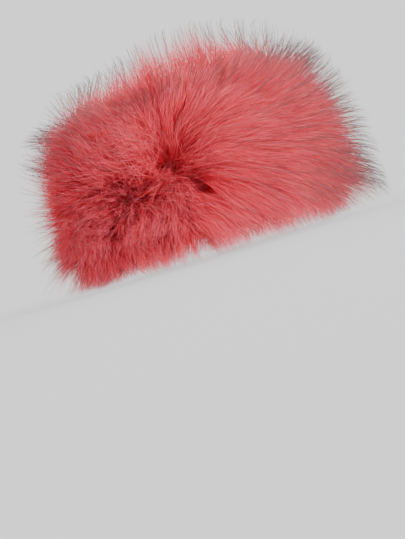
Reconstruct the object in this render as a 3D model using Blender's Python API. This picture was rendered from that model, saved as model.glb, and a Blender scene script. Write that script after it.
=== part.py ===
"""Faux-fur headband: an oval ring of long-pile fabric, lined inside, with an elastic back.

Metres, +Z up. The ring stands on its lower edge: the origin is on the ground in the ring's middle,
the forehead side faces -Y and the wearer's right is -X. Every layer is a section of (offset, height)
points swept round one oval, where offset is the distance outwards from the lining's inner face.
That face closes in towards the top, as it does on a head. The front pieces cover two thirds of the
oval and the elastic back covers the rest.
"""

import math

import bmesh
import bpy

MM = 0.001

# The oval that the head goes into, measured at the lining's face.
HEAD_HALF_WIDTH = 77.5 * MM
HEAD_HALF_LENGTH = 97.5 * MM
SEAM_ANGLE = 120.0  # degrees from the forehead round to each side seam
STEP_ANGLE = 5.0  # degrees between the sections of a swept piece

# The sewn band, which the pile surrounds.
BAND_BOTTOM = 30 * MM
BAND_TOP = 126 * MM
BAND_MIDDLE = (BAND_BOTTOM + BAND_TOP) / 2
HEM = 12 * MM  # fur fabric turned to the inside at each edge
CLEAR = 0.3 * MM  # between neighbouring layers

# The band closes in above the head's widest level, as the skull does.
WIDEST_HEIGHT = 46 * MM
CROWN_RISE = 140 * MM  # from the widest level to the crown of the head
CURVE_ROWS = 5  # straight rows that the curve is built from
PILE_CLOSING = 0.6  # inward lean of the pile above the band
PILE_DIP = 0.4  # share by which the pile above the band is lower over the forehead and nape

# Each layer's inner and outer offset.
LINING = (0.0, 1.0 * MM)
HEM_FLAP = (0.0, 1.4 * MM)
END_STITCH = (1.3 * MM, 1.9 * MM)
INTERLINING = (1.8 * MM, 5.0 * MM)
SEAM_THREAD = (2.4 * MM, 4.4 * MM)
ELASTIC = (2.2 * MM, 3.4 * MM)
CASING = (3.8 * MM, 4.8 * MM)
BACKING = (5.4 * MM, 6.8 * MM)
PROUD_STITCH = (-0.8 * MM, -0.3 * MM)
LABEL = (-1.8 * MM, -1.2 * MM)
LABEL_STITCH = (-2.6 * MM, -2.1 * MM)

ELASTIC_WIDTH = 50 * MM
CASING_WIDTH = 62 * MM
STITCH_WIDTH = 1.2 * MM
END_STITCH_LENGTH = 6 * MM
SEAM_ROOM = 2.4 * MM  # left free on each side of a side seam, for its turned edges
LABEL_SIZE = (22 * MM, 36 * MM)

# The pile, as the outline that its dense fur fills.
PILE_HEIGHT = 162 * MM
PILE_LENGTH = 37.5 * MM  # from the lining's face to the outline, half way up
PILE_CROWN_OFFSET = 12 * MM  # where the outline is highest
PILE_CENTRE_HEIGHT = 76 * MM
PILE_FULLNESS = 0.84  # exponent of the outline's arc: 1 is an ellipse, less is fuller
PILE_ARC_STEPS = 14
PILE_LIP_OFFSET = -2 * MM  # how far the pile leans over the lining at the two edges
PILE_LIP_DEPTH = 14 * MM


def fabric(name, colour, roughness):
    material = bpy.data.materials.new(name)
    material.use_nodes = True
    shader = material.node_tree.nodes["Principled BSDF"]
    shader.inputs["Base Color"].default_value = (*colour, 1.0)
    shader.inputs["Roughness"].default_value = roughness
    shader.inputs["Metallic"].default_value = 0.0
    material.diffuse_color = (*colour, 1.0)
    return material


def curve_rows():
    """The heights between which the band's face is straight."""
    step = (BAND_TOP - WIDEST_HEIGHT) / CURVE_ROWS
    return [WIDEST_HEIGHT + row * step for row in range(CURVE_ROWS + 1)]


def skull_inset(height):
    """How far the skull has closed in at this height, on its true curve."""
    radius = (HEAD_HALF_WIDTH + HEAD_HALF_LENGTH) / 2
    return radius * (1 - math.sqrt(1 - ((height - WIDEST_HEIGHT) / CROWN_RISE) ** 2))


def face_inset(height):
    """How far the lining's face has closed in at this height: straight between the rows."""
    if height <= WIDEST_HEIGHT:
        return 0.0
    if height >= BAND_TOP:
        return skull_inset(BAND_TOP) + PILE_CLOSING * (height - BAND_TOP)
    rows = curve_rows()
    for low, high in zip(rows, rows[1:]):
        if height <= high:
            share = (height - low) / (high - low)
            return skull_inset(low) + share * (skull_inset(high) - skull_inset(low))
    return skull_inset(BAND_TOP)


def heights_between(low, high):
    """Both heights, and the rows between them, so that layers side by side bend together."""
    return [low] + [row for row in curve_rows() if low + CLEAR < row < high - CLEAR] + [high]


def dipped(height, angle):
    """The height, lowered above the band towards the forehead and the nape."""
    return height - PILE_DIP * math.cos(math.radians(angle)) ** 2 * max(0.0, height - BAND_TOP)


def oval_point(angle, offset):
    """The point at this angle from the forehead, moved outwards along the oval's normal."""
    turn = math.radians(angle)
    x = HEAD_HALF_WIDTH * math.sin(turn)
    y = -HEAD_HALF_LENGTH * math.cos(turn)
    normal_x = HEAD_HALF_LENGTH * math.sin(turn)
    normal_y = -HEAD_HALF_WIDTH * math.cos(turn)
    length = math.hypot(normal_x, normal_y)
    return x + offset * normal_x / length, y + offset * normal_y / length


def degrees_along(distance, angle):
    """How many degrees of the lining's oval, near this angle, are this distance."""
    turn = math.radians(angle)
    speed = math.hypot(HEAD_HALF_WIDTH * math.cos(turn), HEAD_HALF_LENGTH * math.sin(turn))
    return math.degrees(distance / speed)


def swept(name, section, start, end, material):
    """A closed solid: the section, listed anticlockwise in (offset, height), from start to end degrees."""
    steps = max(1, round((end - start) / STEP_ANGLE))
    mesh = bmesh.new()
    rings = []
    for step in range(steps + 1):
        angle = start + (end - start) * step / steps
        ring = []
        for offset, full_height in section:
            height = dipped(full_height, angle)
            x, y = oval_point(angle, offset - face_inset(height))
            ring.append(mesh.verts.new((x, y, height)))
        rings.append(ring)
    count = len(section)
    for ring, following in zip(rings, rings[1:]):
        for i in range(count):
            j = (i + 1) % count
            mesh.faces.new((ring[i], following[i], following[j], ring[j]))
    mesh.faces.new(rings[0])
    mesh.faces.new(reversed(rings[-1]))
    bmesh.ops.recalc_face_normals(mesh, faces=mesh.faces)
    data = bpy.data.meshes.new(name)
    mesh.to_mesh(data)
    mesh.free()
    data.shade_smooth()
    data.set_sharp_from_angle(angle=math.radians(40))
    data.materials.append(material)
    piece = bpy.data.objects.new(name, data)
    bpy.context.scene.collection.objects.link(piece)
    return piece


def box_section(offsets, low, high):
    inner, outer = offsets
    heights = heights_between(low, high)
    return [(outer, height) for height in heights] + [(inner, height) for height in reversed(heights)]


def stitch_section(offsets, height):
    return box_section(offsets, height - STITCH_WIDTH / 2, height + STITCH_WIDTH / 2)


def backing_section():
    """The fur fabric's knitted base: a tall wall with a hem turned to the inside at each edge."""
    inner, outer = BACKING
    flap_inner, flap_outer = HEM_FLAP
    thickness = outer - inner
    outside = [(outer, height) for height in heights_between(BAND_BOTTOM, BAND_TOP)]
    upper_hem = [
        (flap_inner, BAND_TOP),
        (flap_inner, BAND_TOP - HEM),
        (flap_outer, BAND_TOP - HEM),
        (flap_outer, BAND_TOP - thickness),
    ]
    inside_heights = heights_between(BAND_BOTTOM + thickness, BAND_TOP - thickness)
    inside = [(inner, height) for height in reversed(inside_heights)]
    lower_hem = [
        (flap_outer, BAND_BOTTOM + thickness),
        (flap_outer, BAND_BOTTOM + HEM),
        (flap_inner, BAND_BOTTOM + HEM),
        (flap_inner, BAND_BOTTOM),
    ]
    return outside + upper_hem + inside + lower_hem


def pile_section():
    """The pile's outline: full at half height, over both edges of the band, flat where it rests."""
    arc = []
    for step in range(PILE_ARC_STEPS + 1):
        turn = math.radians(-90 + 180 * step / PILE_ARC_STEPS)
        out = math.copysign(abs(math.cos(turn)) ** PILE_FULLNESS, math.cos(turn))
        up = math.copysign(abs(math.sin(turn)) ** PILE_FULLNESS, math.sin(turn))
        offset = PILE_CROWN_OFFSET + (PILE_LENGTH - PILE_CROWN_OFFSET) * out
        height = PILE_CENTRE_HEIGHT + (PILE_HEIGHT - PILE_CENTRE_HEIGHT) * up
        arc.append((offset, max(0.0, height)))
    wall = BACKING[1] + CLEAR
    above, below = BAND_TOP + CLEAR, BAND_BOTTOM - CLEAR
    upper_lip = [(PILE_LIP_OFFSET, above + PILE_LIP_DEPTH), (LINING[0], above), (wall, above)]
    inside = [(wall, height) for height in reversed(heights_between(below, above)[1:-1])]
    lower_lip = [(wall, below), (LINING[0], below), (PILE_LIP_OFFSET, below - PILE_LIP_DEPTH)]
    return arc + upper_lip + inside + lower_lip


def make_front(materials):
    """The fur panel, its interlining and its lining, from one side seam round to the other."""
    gap = degrees_along(CLEAR / 2, SEAM_ANGLE)
    edge = SEAM_ANGLE - gap
    room = SEAM_ANGLE - degrees_along(SEAM_ROOM, SEAM_ANGLE)
    swept("front_fur_pile", pile_section(), -edge, edge, materials["pile"])
    swept("front_fur_backing", backing_section(), -edge, edge, materials["backing"])
    inside = box_section(INTERLINING, BAND_BOTTOM + 2 * MM, BAND_TOP - 2 * MM)
    swept("front_interlining", inside, -room, room, materials["wadding"])
    lining = box_section(LINING, BAND_BOTTOM + HEM + CLEAR, BAND_TOP - HEM - CLEAR)
    swept("front_lining", lining, -edge, edge, materials["lining"])
    for place, height in (("upper", BAND_TOP - HEM), ("lower", BAND_BOTTOM + HEM)):
        section = stitch_section(PROUD_STITCH, height)
        swept(f"front_{place}_hem_stitch", section, -edge, edge, materials["thread"])


def make_side_seams(materials):
    """The threads that join the front to the back at each side, in the fur fabric and in the lining."""
    width = degrees_along(STITCH_WIDTH, SEAM_ANGLE)
    gap = degrees_along(CLEAR, SEAM_ANGLE)
    fur_seam = box_section(SEAM_THREAD, BAND_BOTTOM + 2 * MM, BAND_TOP - 2 * MM)
    clear_of_hem = HEM + STITCH_WIDTH
    lining_seam = box_section(PROUD_STITCH, BAND_BOTTOM + clear_of_hem, BAND_TOP - clear_of_hem)
    for side, sign in (("left", 1), ("right", -1)):
        start, end = sorted((sign * (SEAM_ANGLE - gap - width), sign * (SEAM_ANGLE - gap)))
        swept(f"{side}_side_seam_thread", fur_seam, start, end, materials["thread"])
        swept(f"{side}_lining_seam_stitch", lining_seam, start, end, materials["thread"])


def make_back(materials):
    """The fur panel and lining of the back, which the elastic between them gathers."""
    gap = degrees_along(CLEAR / 2, SEAM_ANGLE)
    start, end = SEAM_ANGLE + gap, 360 - SEAM_ANGLE - gap
    swept("back_fur_pile", pile_section(), start, end, materials["pile"])
    swept("back_fur_backing", backing_section(), start, end, materials["backing"])
    lining = box_section(LINING, BAND_BOTTOM + HEM + CLEAR, BAND_TOP - HEM - CLEAR)
    swept("back_lining", lining, start, end, materials["lining"])
    for place, height in (("upper", BAND_TOP - HEM), ("lower", BAND_BOTTOM + HEM)):
        section = stitch_section(PROUD_STITCH, height)
        swept(f"back_{place}_hem_stitch", section, start, end, materials["thread"])


def make_elastic(materials):
    """The wide elastic, the casing that holds it flat, and the stitching of both."""
    room = degrees_along(SEAM_ROOM, SEAM_ANGLE)
    start, end = SEAM_ANGLE + room, 360 - SEAM_ANGLE - room
    half = ELASTIC_WIDTH / 2
    band = box_section(ELASTIC, BAND_MIDDLE - half, BAND_MIDDLE + half)
    swept("elastic", band, start, end, materials["elastic"])
    half_casing = CASING_WIDTH / 2
    casing = box_section(CASING, BAND_MIDDLE - half_casing, BAND_MIDDLE + half_casing)
    swept("elastic_casing", casing, start, end, materials["lining"])
    row = (half + half_casing) / 2
    for place, height in (("upper", BAND_MIDDLE + row), ("lower", BAND_MIDDLE - row)):
        section = stitch_section(PROUD_STITCH, height)
        swept(f"casing_{place}_stitch", section, start, end, materials["thread"])
    length = degrees_along(END_STITCH_LENGTH, SEAM_ANGLE)
    block = box_section(END_STITCH, BAND_MIDDLE - half + 2 * MM, BAND_MIDDLE + half - 2 * MM)
    for side, low in (("left", start), ("right", end - length)):
        swept(f"{side}_elastic_end_stitch", block, low, low + length, materials["thread"])


def make_label(materials):
    """A blank care label, sewn by its upper edge to the lining at the middle of the back."""
    width, height = LABEL_SIZE
    top = BAND_TOP - HEM - STITCH_WIDTH
    half = degrees_along(width / 2, 180)
    tag = box_section(LABEL, top - height, top)
    swept("care_label", tag, 180 - half, 180 + half, materials["label"])
    margin = degrees_along(1.5 * MM, 180)
    row = stitch_section(LABEL_STITCH, top - 2 * MM)
    swept("care_label_stitch", row, 180 - half + margin, 180 + half - margin, materials["thread"])


def main():
    for piece in list(bpy.data.objects):
        bpy.data.objects.remove(piece, do_unlink=True)
    materials = {
        "pile": fabric("coral_pile", (0.62, 0.14, 0.15), 0.75),
        "backing": fabric("knitted_backing", (0.50, 0.12, 0.13), 0.9),
        "wadding": fabric("white_wadding", (0.82, 0.80, 0.76), 0.95),
        "lining": fabric("pink_fleece", (0.60, 0.19, 0.20), 0.9),
        "elastic": fabric("white_elastic", (0.80, 0.79, 0.76), 0.7),
        "thread": fabric("coral_thread", (0.66, 0.16, 0.18), 0.6),
        "label": fabric("satin_label", (0.86, 0.84, 0.80), 0.45),
    }
    make_front(materials)
    make_side_seams(materials)
    make_back(materials)
    make_elastic(materials)
    make_label(materials)


main()
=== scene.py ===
"""Looks of the faux-fur headband: long coral fur as closed tapered fibres, and the sewn band in it.

Everything is laid out in band coordinates and then wrapped round the oval that the head goes into:
along (metres round the lining's face from the forehead, towards the wearer's left), out (offset
outwards from that face) and up (height).
"""

import math

import bmesh
import bpy
import numpy as np
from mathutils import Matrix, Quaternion, Vector


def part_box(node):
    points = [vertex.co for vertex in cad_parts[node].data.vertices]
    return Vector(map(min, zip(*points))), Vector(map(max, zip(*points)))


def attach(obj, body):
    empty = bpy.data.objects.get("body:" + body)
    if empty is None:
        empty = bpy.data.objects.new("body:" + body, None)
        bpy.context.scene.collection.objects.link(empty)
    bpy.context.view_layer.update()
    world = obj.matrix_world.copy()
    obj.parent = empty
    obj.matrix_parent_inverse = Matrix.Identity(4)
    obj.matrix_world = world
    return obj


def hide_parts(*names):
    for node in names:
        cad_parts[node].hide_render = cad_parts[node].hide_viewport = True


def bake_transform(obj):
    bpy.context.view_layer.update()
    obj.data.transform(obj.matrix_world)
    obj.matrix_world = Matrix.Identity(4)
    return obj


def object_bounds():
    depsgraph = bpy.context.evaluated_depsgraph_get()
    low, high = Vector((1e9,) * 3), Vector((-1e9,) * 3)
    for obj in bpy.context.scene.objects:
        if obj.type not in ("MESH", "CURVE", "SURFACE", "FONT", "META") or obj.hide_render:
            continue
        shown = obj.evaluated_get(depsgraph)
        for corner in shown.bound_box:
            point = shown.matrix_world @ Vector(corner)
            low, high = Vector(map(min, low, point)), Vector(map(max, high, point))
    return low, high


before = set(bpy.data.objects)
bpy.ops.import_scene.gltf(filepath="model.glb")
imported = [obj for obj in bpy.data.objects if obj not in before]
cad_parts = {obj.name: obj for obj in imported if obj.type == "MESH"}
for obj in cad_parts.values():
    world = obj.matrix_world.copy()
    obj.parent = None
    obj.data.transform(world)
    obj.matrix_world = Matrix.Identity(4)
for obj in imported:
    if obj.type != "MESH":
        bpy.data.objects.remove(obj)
CAD_LOW, CAD_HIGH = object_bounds()

MM = 0.001
FRONT, BACK = "front_band", "elastic_back"

# The oval and the band, read from the frame.
LINING_THICK = 1.0 * MM
lining_low, lining_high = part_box("front_lining")
band_low, band_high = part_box("front_fur_backing")
HALF_WIDTH = lining_high[0] - LINING_THICK
HALF_LENGTH = -lining_low[1] - LINING_THICK
BAND_BOTTOM, BAND_TOP = band_low[2], band_high[2]
BAND_MIDDLE = (BAND_BOTTOM + BAND_TOP) / 2
BASE_OUT = band_high[0] - HALF_WIDTH  # the fur fabric's outer face
FUR_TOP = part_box("front_fur_pile")[1][2]
FUR_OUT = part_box("front_fur_pile")[1][0] - HALF_WIDTH
SEAM_ANGLE = math.acos(-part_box("back_lining")[0][1] / HALF_LENGTH)
SEAM_Y = -HALF_LENGTH * math.cos(SEAM_ANGLE)

# Where the stretch of the elastic back begins.
STRETCH_START = (0.0, SEAM_Y - 2 * MM, BAND_MIDDLE)

# The face closes in above the head's widest level, as in the frame's solids.
WIDEST_HEIGHT = 46 * MM
CROWN_RISE = 140 * MM
PILE_CLOSING = 0.6
PILE_DIP = 0.4  # the fur above the band is lower over the forehead and nape


# --- Band coordinates

ANGLES = np.linspace(-math.tau, math.tau, 2881)
SPEEDS = np.hypot(HALF_WIDTH * np.cos(ANGLES), HALF_LENGTH * np.sin(ANGLES))
ARCS = np.concatenate([[0], np.cumsum((SPEEDS[1:] + SPEEDS[:-1]) / 2 * np.diff(ANGLES))])
ARCS -= np.interp(0, ANGLES, ARCS)
GIRTH = float(np.interp(math.tau, ANGLES, ARCS))
SEAM = float(np.interp(SEAM_ANGLE, ANGLES, ARCS))  # arc from the forehead to each side seam
MEAN_RADIUS = GIRTH / math.tau


def offset_from(along, centre=0.0):
    """How far along these places are from a centre, the shorter way round the band."""
    return (along - centre + GIRTH / 2) % GIRTH - GIRTH / 2


def from_forehead(along):
    return np.abs(offset_from(along))


def closing(up):
    """How far up the head's crown these heights are, as a share of its rise."""
    return (np.clip(up, WIDEST_HEIGHT, BAND_TOP) - WIDEST_HEIGHT) / CROWN_RISE


def face_inset(up):
    """How far the lining's face has closed in at these heights."""
    inset = (HALF_WIDTH + HALF_LENGTH) / 2 * (1 - np.sqrt(1 - closing(up) ** 2))
    return inset + PILE_CLOSING * np.clip(up - BAND_TOP, 0, None)


def face_slope(up):
    """How steeply the face leans in at these heights."""
    level = closing(up)
    return (HALF_WIDTH + HALF_LENGTH) / 2 / CROWN_RISE * level / np.sqrt(1 - level**2)


def wrapped(along, out, up):
    """Band coordinates, as arrays of one shape, to points."""
    angle = np.interp(offset_from(along), ARCS, ANGLES)
    sine, cosine = np.sin(angle), np.cos(angle)
    up = up - PILE_DIP * cosine**2 * np.clip(up - BAND_TOP, 0, None)
    out = out - face_inset(up)
    normal_x, normal_y = HALF_LENGTH * sine, -HALF_WIDTH * cosine
    length = np.hypot(normal_x, normal_y)
    x = HALF_WIDTH * sine + out * normal_x / length
    y = -HALF_LENGTH * cosine + out * normal_y / length
    return np.stack([x, y, up + 0 * x], axis=-1)


def path_points(path):
    return wrapped(*np.moveaxis(path, -1, 0))


# --- Materials


class Nodes:
    """A material's node tree, with its Principled shader."""

    def __init__(self, name, roughness, sheen=0.0, specular=0.3):
        self.material = bpy.data.materials.new(name)
        self.material.use_nodes = True
        self.tree = self.material.node_tree
        self.shader = self.tree.nodes["Principled BSDF"]
        values = {"Roughness": roughness, "Sheen Weight": sheen, "Sheen Roughness": 0.5}
        for key, value in {**values, "Specular IOR Level": specular}.items():
            self.shader.inputs[key].default_value = value

    def node(self, kind, **values):
        made = self.tree.nodes.new(kind)
        for key, value in values.items():
            if key in made.inputs:
                made.inputs[key].default_value = value
            else:
                setattr(made, key, value)
        return made

    def link(self, source, output, target, socket):
        self.tree.links.new(source.outputs[output], target.inputs[socket])

    def ramp(self, source, output, stops):
        ramp = self.node("ShaderNodeValToRGB")
        elements = ramp.color_ramp.elements
        while len(elements) < len(stops):
            elements.new(0.5)
        for element, (place, colour) in zip(elements, stops):
            element.position = place
            element.color = (*colour, 1.0)
        self.link(source, output, ramp, "Fac")
        return ramp

    def weighted(self, source, output, weight, added, socket):
        """A Math node: one output times the weight, plus another."""
        total = self.node("ShaderNodeMath", operation="MULTIPLY_ADD")
        total.inputs[1].default_value = weight
        self.link(source, output, total, 0)
        self.link(added, socket, total, 2)
        return total

    def surface(self, value, stops, height, strength, distance):
        """Colour by a Math node's value, and relief by a height output."""
        ramp = self.ramp(value, "Value", stops)
        self.link(ramp, "Color", self.shader, "Base Color")
        raised = self.node("ShaderNodeBump", Strength=strength, Distance=distance)
        self.tree.links.new(height, raised.inputs["Height"])
        self.link(raised, "Normal", self.shader, "Normal")


def fibre_material(name, low_tint, high_tint, roughness):
    """Colour from root to tip along V, between two tints across U."""
    nodes = Nodes(name, roughness, sheen=0.05, specular=0.06)
    place = nodes.node("ShaderNodeUVMap", uv_map="OFBake")
    split = nodes.node("ShaderNodeSeparateXYZ")
    nodes.link(place, "UV", split, "Vector")
    low = nodes.ramp(split, "Y", low_tint)
    high = nodes.ramp(split, "Y", high_tint)
    mix = nodes.node("ShaderNodeMix", data_type="RGBA")
    nodes.link(split, "X", mix, 0)
    nodes.link(low, "Color", mix, 6)
    nodes.link(high, "Color", mix, 7)
    nodes.link(mix, 2, nodes.shader, "Base Color")
    return nodes.material


FINE_SHARE = 0.65  # of a mottled cloth's variation that its fine grain makes
RELIEF_SHADE_WEIGHT = 0.55  # of a knitted cloth's relief in its colour, as painted shade in its grooves, beside its unevenness


def cloth_material(name, dark, light, roughness, sheen, bump, grain):
    """Mottled cloth: a fine grain at the given scale, over a broad soft variation."""
    nodes = Nodes(name, roughness, sheen=sheen, specular=0.2)
    place = nodes.node("ShaderNodeTexCoord")
    fine = nodes.node("ShaderNodeTexNoise", Scale=grain, Detail=3.0, Roughness=0.6)
    broad = nodes.node("ShaderNodeTexNoise", Scale=40.0, Detail=2.0)
    for noise in (fine, broad):
        nodes.link(place, "Object", noise, "Vector")
    part = nodes.node("ShaderNodeMath", operation="MULTIPLY")
    part.inputs[1].default_value = 1 - FINE_SHARE
    nodes.link(broad, "Fac", part, 0)
    both = nodes.weighted(fine, "Fac", FINE_SHARE, part, "Value")
    nodes.surface(both, [(0.3, dark), (0.7, light)], fine.outputs["Fac"], bump, 0.4 * MM)
    return nodes.material


def chart_material(name, dark, light, roughness, sheen, ribs, courses, depth, specular=0.25):
    """Knitted or woven cloth: uneven ribs along and courses across, at these spacings."""
    nodes = Nodes(name, roughness, sheen=sheen, specular=specular)
    place = nodes.node("ShaderNodeUVMap", uv_map="OFBake")
    metres = nodes.node("ShaderNodeMapping", Scale=(GIRTH, GIRTH, 1))
    nodes.link(place, "UV", metres, "Vector")
    relief = nodes.node("ShaderNodeMath", operation="MULTIPLY")
    for number, (direction, spacing) in enumerate((("X", courses), ("Y", ribs))):
        scale = math.pi / 10 / spacing
        wave = nodes.node("ShaderNodeTexWave", Scale=scale, Distortion=0.6, Detail=1.0)
        wave.bands_direction = direction
        nodes.link(metres, "Vector", wave, "Vector")
        nodes.link(wave, "Fac", relief, number)
    uneven = nodes.node("ShaderNodeTexNoise", Scale=90.0, Detail=4.0, Roughness=0.65)
    nodes.link(metres, "Vector", uneven, "Vector")
    # The colour follows the relief: painted shade in the grooves between ribs and courses, beside
    # the yarn's unevenness.
    both = nodes.weighted(relief, "Value", RELIEF_SHADE_WEIGHT, uneven, "Fac")
    nodes.surface(both, [(0.35, dark), (0.95, light)], relief.outputs["Value"], 0.7, depth)
    return nodes.material


# --- Meshes


def add(name, data):
    made = bpy.data.objects.new(name, data)
    bpy.context.scene.collection.objects.link(made)
    return made


def mesh_object(name, points, faces, material):
    """A mesh object from arrays of points and of triangles or quads."""
    mesh = bpy.data.meshes.new(name)
    sides = faces.shape[1]
    mesh.vertices.add(len(points))
    mesh.vertices.foreach_set("co", np.ascontiguousarray(points, np.float32).ravel())
    mesh.loops.add(faces.size)
    mesh.loops.foreach_set("vertex_index", np.ascontiguousarray(faces, np.int32).ravel())
    mesh.polygons.add(len(faces))
    mesh.polygons.foreach_set("loop_start", np.arange(0, faces.size, sides, dtype=np.int32))
    mesh.update(calc_edges=True)
    mesh.polygons.foreach_set("use_smooth", np.full(len(faces), True))
    mesh.materials.append(material)
    return add(name, mesh)


def set_chart(piece, chart):
    layer = piece.data.uv_layers.new(name="OFBake")
    layer.data.foreach_set("uv", np.ascontiguousarray(chart, np.float32).ravel())


def hold(piece, body, node):
    """The piece rides on the front or stretches with the back, in place of a CAD node."""
    if body == FRONT:
        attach(piece, FRONT)
    else:
        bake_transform(piece)
    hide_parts(node)


def unit(vectors):
    return vectors / (np.linalg.norm(vectors, axis=-1, keepdims=True) + 1e-12)


def rings_round(points, ahead, reference, widths, sides):
    """The corners of a tube round each point of each path, in an array one axis deeper."""
    side = unit(np.cross(ahead, np.broadcast_to(reference, ahead.shape)))
    other = np.cross(ahead, side)
    turns = math.tau * np.arange(sides)[:, None] / sides
    spokes = np.cos(turns) * side[..., None, :] + np.sin(turns) * other[..., None, :]
    return points[..., None, :] + widths[..., None, None] * spokes


def tube_faces(rings, sides, tip, root=None):
    """Outward triangles of a tube that ends in a tip, and in a root if there is one."""
    last = (rings - 1) * sides
    faces = []
    for corner in range(sides):
        after = (corner + 1) % sides
        for low in range(0, last, sides):
            high = low + sides
            faces.append((low + corner, low + after, high + after))
            faces.append((low + corner, high + after, high + corner))
        faces.append((last + corner, last + after, tip))
        if root is not None:
            faces.append((root, after, corner))
    return faces


def many_tubes(name, verts, faces, material):
    """One mesh of tubes that share their faces' pattern; also the corners of all the faces."""
    first = np.arange(len(verts)) * verts.shape[1]
    all_faces = (np.array(faces)[None] + first[:, None, None]).reshape(-1, 3)
    return mesh_object(name, verts.reshape(-1, 3), all_faces, material), all_faces.ravel()


# --- Fur

FIBRES = 145_000
GUARD_HAIRS = 15_000

FOLD = BASE_OUT / 2  # radius of the rounded fold over each edge of the band
HALF_WALL = (BAND_TOP - BAND_BOTTOM) / 2 - FOLD
FOLD_LENGTH = FOLD * math.pi
FLAP = 1.5 * MM  # of the turned hem that still carries fur
HALF_SECTION = HALF_WALL + FOLD_LENGTH + FLAP
JOINTS = np.linspace(0, 1, 6)  # along a fibre, from root to tip
GUARD_JOINTS = np.linspace(0, 1, 7)

# The pile's outline across the band: a rounded form about this centre, flattened by the floor.
CROWN_OFFSET = 12 * MM
CENTRE_HEIGHT = 76 * MM
INWARD_REACH = 17 * MM
SINK = 40 * MM  # by which the form would reach below the floor
ROUNDNESS = 2.38
LEAST_REACH = 2 * MM
SHORT_GROWTH, LEAST_GROWTH = 0.15, 0.1  # shares of a fibre's length
CROWN_TUFT = 15 * MM  # by which the densest fur stands above the frame's smooth pile

# The dome that the whole pile makes, seen from the side, from the brow over the crown to the nape.
DOME_HALF_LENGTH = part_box("back_fur_pile")[1][1] - 18 * MM
DOME_CENTRE = 5 * MM  # behind the middle of the oval
DOME_BASE = 60 * MM
DOME_ROUNDNESS = 1.85

# Room past the frame's smooth pile, where stray tips slow down and where they stop.
ROOM_OUT = (4 * MM, 16.3 * MM)
ROOM_UP = (3 * MM, 14.5 * MM)
FLOOR_GAP = 0.6 * MM  # between the lowest fibres' middles and the floor
INSIDE_GAP = 0.6 * MM  # between the lining's face and the fibres inside the ring


def section_at(across):
    """(out, up, normal_out, normal_up) on the fabric; across runs up the wall from its middle."""
    side = np.sign(across)
    past = np.clip(np.abs(across) - HALF_WALL, 0, None)
    turn = np.clip(past / FOLD, 0, math.pi)
    flap = np.clip(past - FOLD_LENGTH, 0, None)
    out = FOLD + FOLD * np.cos(turn)
    up = side * (HALF_WALL + FOLD * np.sin(turn) - flap)
    wall = np.abs(across) < HALF_WALL
    up = BAND_MIDDLE + np.where(wall, across, up)
    # Inside the ring the pile stands up out of the hem instead of straight in.
    normal_out = np.maximum(np.cos(turn), -0.25)
    normal_up = np.maximum(np.sin(turn), 0.97 * (turn > math.pi / 2)) * side
    slope = face_slope(up)
    return out, up, normal_out, normal_up + slope / np.sqrt(1 + slope**2)


# Each whorl's angle from the forehead in degrees, and its height and reach in millimetres.
WHORLS = [(-122, 70, 7), (-113, 56, 4), (-153, 42, 4), (-141, 88, 4)]
WHORLS += [(121, 74, 9), (168, 62, 9), (60, 58, 6)]
WHORL_LEAN = math.radians(72)


def waves(along, across, count, scale, seed):
    """A smooth field of about unit size that closes on itself."""
    draw = np.random.default_rng(seed)
    total = np.zeros_like(along)
    for _ in range(count):
        turns = round(draw.uniform(-1, 1) * GIRTH / scale)
        rise = draw.uniform(-1, 1) * math.tau / scale
        phase = draw.uniform(0, math.tau)
        total += np.sin(math.tau * turns * along / GIRTH + rise * across + phase)
    return total * math.sqrt(2 / count)


def smooth(value, low, high):
    t = np.clip((value - low) / (high - low), 0, 1)
    return t * t * (3 - 2 * t)


def bump(distance, reach):
    """1 at no distance, falling to 0 over about twice the reach."""
    return np.exp(-((distance / reach) ** 2))


def backness(along):
    """0 on the front panel and 1 on the back one."""
    return smooth(from_forehead(along) - SEAM, -3 * MM, 3 * MM)


def foreheadness(along):
    """1 over the middle of the forehead, falling to 0 over the temples."""
    return 1 - smooth(from_forehead(along), 60 * MM, 150 * MM)


def from_whorls(along, across):
    """How far and which way each place lies from each whorl, and the whorl's reach."""
    for angle, height, reach in WHORLS:
        beside = offset_from(along, float(np.interp(math.radians(angle), ANGLES, ARCS)))
        above = across - (height * MM - BAND_MIDDLE)
        yield np.hypot(beside, above), np.arctan2(above, beside), reach * MM


def near_whorls(along, across, spread):
    """1 in the middle of a whorl, falling to 0 over a spread in its reaches."""
    nearness = np.zeros_like(along)
    for distance, _, reach in from_whorls(along, across):
        nearness = np.maximum(nearness, bump(distance, spread * reach))
    return nearness


def swirl(along, across, direction, lean):
    """The lay, turned to part from a few small whorls that show the roots."""
    for distance, away, reach in from_whorls(along, across):
        share = bump(distance, reach)
        turn = (away - direction + math.pi) % math.tau - math.pi
        direction = direction + turn * share
        lean = lean + (WHORL_LEAN - lean) * share
    return direction, lean


# The front panel's lay by height, in half walls from the middle: the direction it is combed in.
FRONT_HEIGHTS = [-1.3, -0.9, -0.5, -0.1, 0.4, 0.9, 1.3]
FRONT_DEGREES = [-85, -72, -46, -14, 20, 48, 70]
PARTING_HEIGHT = -0.2  # of the back panel's parting line, in half walls from the middle


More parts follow.
